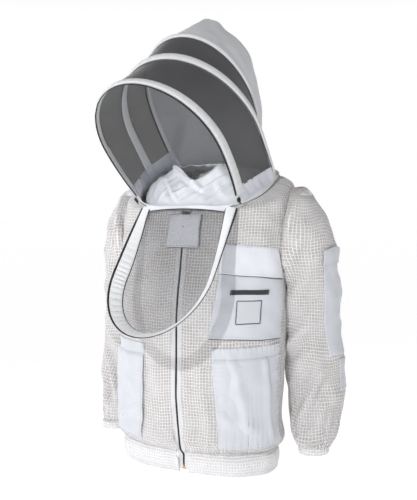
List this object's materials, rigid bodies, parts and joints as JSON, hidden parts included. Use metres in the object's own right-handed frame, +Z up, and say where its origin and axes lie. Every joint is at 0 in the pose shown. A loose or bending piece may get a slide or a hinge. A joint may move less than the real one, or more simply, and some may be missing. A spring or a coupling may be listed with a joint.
{
  "type": "beekeeping jacket",
  "caption": "Ventilated white beekeeping jacket with a hooped veil hood; its front veil is unzipped and dropped forward on the chest.",
  "frame": {"origin": "middle of the neckline, between the wearer's shoulders, where the jacket is carried", "axes": "+Z up along the wearer's spine, -Y to the wearer's front, +X to the wearer's left"},
  "size_m": [0.7457, 0.549, 1.2176],
  "materials": {
    "mesh_cloth": "open three-layer square mesh, cream white",
    "poplin": "smooth white cotton-polyester poplin",
    "hood_cloth": "fine light grey-white spacer mesh",
    "veil_netting": "fine dark grey see-through netting",
    "door_netting": "fine grey see-through netting",
    "binding": "white ribbed webbing tape",
    "zip_tape": "white woven zip tape",
    "zip_coil": "black nylon coil",
    "slider_metal": "nickel-plated die-cast zinc",
    "slider_black": "black lacquered die-cast zinc",
    "brass": "worn brass",
    "stay_steel": "spring steel wire",
    "elastic": "white woven elastic",
    "label": "blank woven badge with a dark stitched border"
  },
  "bodies": {
    "jacket": {"front_panel_left": "mesh_cloth", "front_panel_right": "mesh_cloth", "back_panel": "mesh_cloth", "waistband_front_left": "mesh_cloth", "waistband_front_right": "mesh_cloth", "waistband_back": "mesh_cloth", "waist_elastic": "elastic", "neck_collar": "poplin", "hanger_loop": "zip_tape", "main_zip_tape_left": "zip_tape", "main_zip_tape_right": "zip_tape", "main_zip_teeth": "zip_coil", "main_zip_bottom_box": "brass", "neck_zip_jacket_half": "zip_coil", "chest_pocket": "poplin", "chest_badge": "label", "hip_pocket_left": "poplin", "hip_pocket_right": "poplin", "sleeve_cap_left": "mesh_cloth", "sleeve_cap_right": "mesh_cloth"},
    "sleeve_left": {"sleeve_left": "mesh_cloth", "cuff_left": "poplin", "cuff_elastic_left": "elastic", "sleeve_pocket": "poplin", "elbow_patch": "poplin"},
    "sleeve_right": {"sleeve_right": "mesh_cloth", "cuff_right": "poplin", "cuff_elastic_right": "elastic"},
    "sleeve_pocket_flap": {"sleeve_pocket_flap": "poplin"},
    "chest_pocket_flap": {"chest_pocket_flap": "poplin"},
    "zip_end_flap": {"zip_end_flap": "poplin"},
    "main_zip_slider": {"main_zip_slider": "slider_metal"},
    "main_zip_pull": {"main_zip_pull": "slider_metal"},
    "neck_zip_slider_left": {"neck_zip_slider_left": "slider_metal"},
    "neck_zip_slider_right": {"neck_zip_slider_right": "slider_metal"},
    "hood": {"neck_zip_hood_half": "zip_coil", "hood_back_left": "hood_cloth", "hood_back_right": "hood_cloth", "hood_skirt_left": "poplin", "hood_skirt_right": "poplin", "hoop_channel_front": "binding", "hoop_channel_mid": "binding", "hoop_channel_rear": "binding", "hoop_stay_front": "stay_steel", "hoop_stay_mid": "stay_steel", "hoop_stay_rear": "stay_steel", "veil_gore_front": "veil_netting", "veil_gore_mid": "veil_netting", "veil_zip_hood_half": "zip_coil", "door_base_strip": "poplin"},
    "veil_door": {"door_netting": "door_netting", "door_binding": "binding", "door_stay": "stay_steel", "veil_zip_door_half": "zip_coil"},
    "veil_zip_slider_left": {"veil_zip_slider_left": "slider_black"},
    "veil_zip_slider_right": {"veil_zip_slider_right": "slider_black"}
  },
  "joints": [
    {"name": "hood_tilt", "type": "hinge", "parent": "jacket", "child": "hood", "pos_m": [0, 0.1215, 0.083], "axis": [-1, 0, 0], "range_deg": [0, 85]},
    {"name": "veil_door_close", "type": "hinge", "parent": "hood", "child": "veil_door", "pos_m": [0, -0.0819, -0.0155], "axis": [-1, 0, 0], "range_deg": [0, 83]},
    {"name": "sleeve_left_raise", "type": "hinge", "parent": "jacket", "child": "sleeve_left", "pos_m": [0.235, 0.06, 0], "axis": [0, -1, 0], "range_deg": [0, 55], "deforming": ["sleeve_cap_left"]},
    {"name": "sleeve_right_raise", "type": "hinge", "parent": "jacket", "child": "sleeve_right", "pos_m": [-0.235, 0.06, 0], "axis": [0, 1, 0], "range_deg": [0, 55], "deforming": ["sleeve_cap_right"]},
    {"name": "sleeve_pocket_flap_lift", "type": "hinge", "parent": "sleeve_left", "child": "sleeve_pocket_flap", "pos_m": [0.353, 0.0708, -0.127], "axis": [0, -1, 0], "range_deg": [0, 90]},
    {"name": "chest_pocket_flap_lift", "type": "hinge", "parent": "jacket", "child": "chest_pocket_flap", "pos_m": [0.192, -0.0927, -0.12], "axis": [-0.859, -0.4794, 0.1798], "range_deg": [0, 40]},
    {"name": "zip_end_flap_lift", "type": "hinge", "parent": "jacket", "child": "zip_end_flap", "pos_m": [0, -0.11, -0.0418], "axis": [-1, 0, 0], "range_deg": [0, 5]},
    {"name": "main_zip_travel", "type": "hinge", "parent": "jacket", "child": "main_zip_slider", "pos_m": [0, 1.2, -0.43], "axis": [1, 0, 0], "range_deg": [0, 26.5]},
    {"name": "main_zip_pull_swing", "type": "hinge", "parent": "main_zip_slider", "child": "main_zip_pull", "pos_m": [0, -0.1105, -0.0705], "axis": [-1, 0, 0], "range_deg": [0, 5]},
    {"name": "neck_zip_left_travel", "type": "slide", "parent": "jacket", "child": "neck_zip_slider_left", "axis": [1, 0, 0], "range_m": [0, 0.038]},
    {"name": "neck_zip_right_travel", "type": "slide", "parent": "jacket", "child": "neck_zip_slider_right", "axis": [-1, 0, 0], "range_m": [0, 0.038]},
    {"name": "veil_zip_left_travel", "type": "slide", "parent": "hood", "child": "veil_zip_slider_left", "axis": [0.2201, -0.7134, 0.6653], "range_m": [0, 0.06]},
    {"name": "veil_zip_right_travel", "type": "slide", "parent": "hood", "child": "veil_zip_slider_right", "axis": [-0.2201, -0.7134, 0.6653], "range_m": [0, 0.06]}
  ]
}
